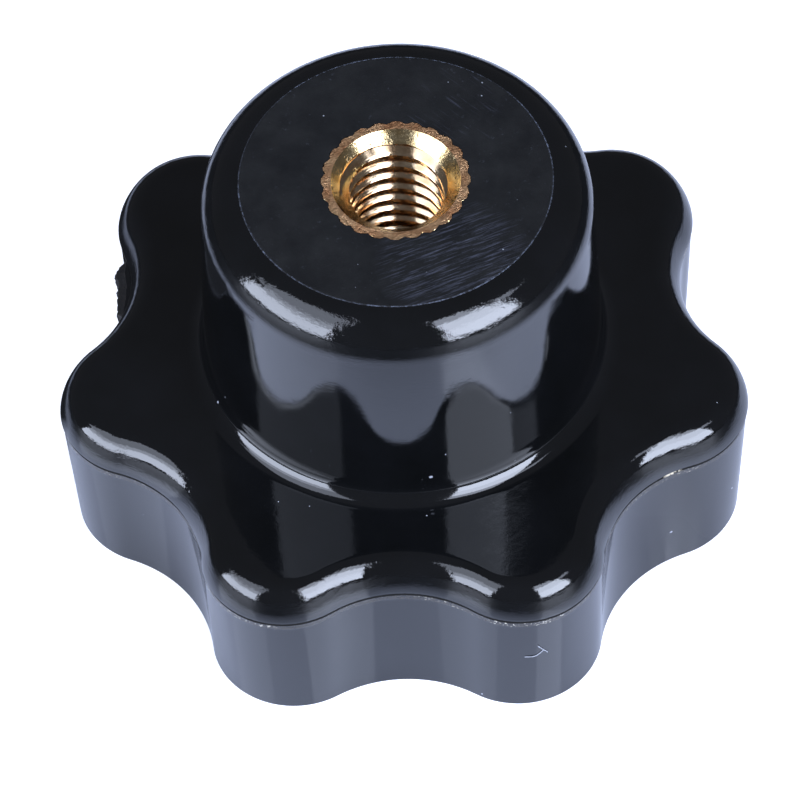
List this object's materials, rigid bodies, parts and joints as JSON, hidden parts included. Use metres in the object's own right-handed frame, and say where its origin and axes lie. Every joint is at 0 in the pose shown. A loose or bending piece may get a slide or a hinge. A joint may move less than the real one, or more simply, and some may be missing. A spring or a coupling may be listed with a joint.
{
  "type": "star knob",
  "caption": "Lobed plastic hand knob with a tapered hub and a moulded-in knurled brass bush that takes a screw.",
  "frame": {"origin": "middle of the flat grip face, on the axis of the thread", "axes": "+Z along the thread, out of the hub; one lobe of the grip points along +Y"},
  "size_m": [0.0314, 0.0308, 0.0204],
  "materials": {
    "grip": "glossy moulded black phenolic",
    "bush": "turned and knurled brass"
  },
  "bodies": {
    "root": {"moulded_grip": "grip", "threaded_bush": "bush"}
  },
  "joints": []
}
